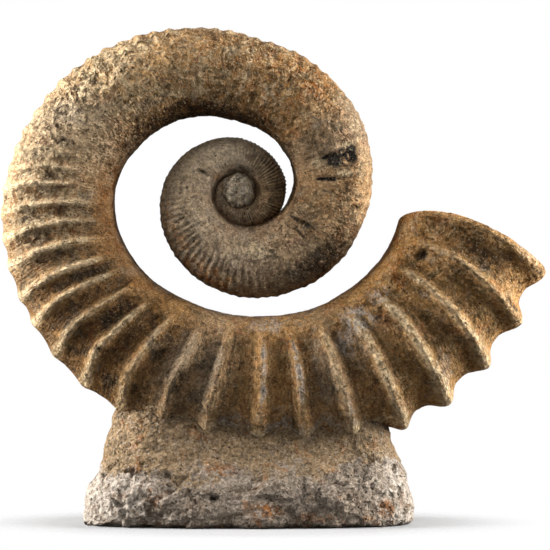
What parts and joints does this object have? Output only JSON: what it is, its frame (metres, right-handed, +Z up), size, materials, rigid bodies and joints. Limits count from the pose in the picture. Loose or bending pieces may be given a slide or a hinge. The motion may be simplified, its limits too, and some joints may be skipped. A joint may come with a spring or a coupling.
{
  "type": "ammonite fossil",
  "caption": "Open-coiled ribbed ammonite fossil standing in a saddle on a rough block of rock, as a free-standing specimen for display.",
  "frame": {"origin": "middle of the rock block's resting face", "axes": "+X from the back of the loop to the mouth, +Y along the coil's axis, away from the side in the picture, +Z up"},
  "size_m": [0.4926, 0.1306, 0.4457],
  "materials": {
    "fossil_shell": "matte, worn and pitted, with pale rib crests and dark valleys",
    "matrix_rock": "rough and granular, sandy beige above and grey below"
  },
  "bodies": {
    "root": {"ammonite": "fossil_shell", "matrix_block": "matrix_rock"}
  },
  "joints": []
}
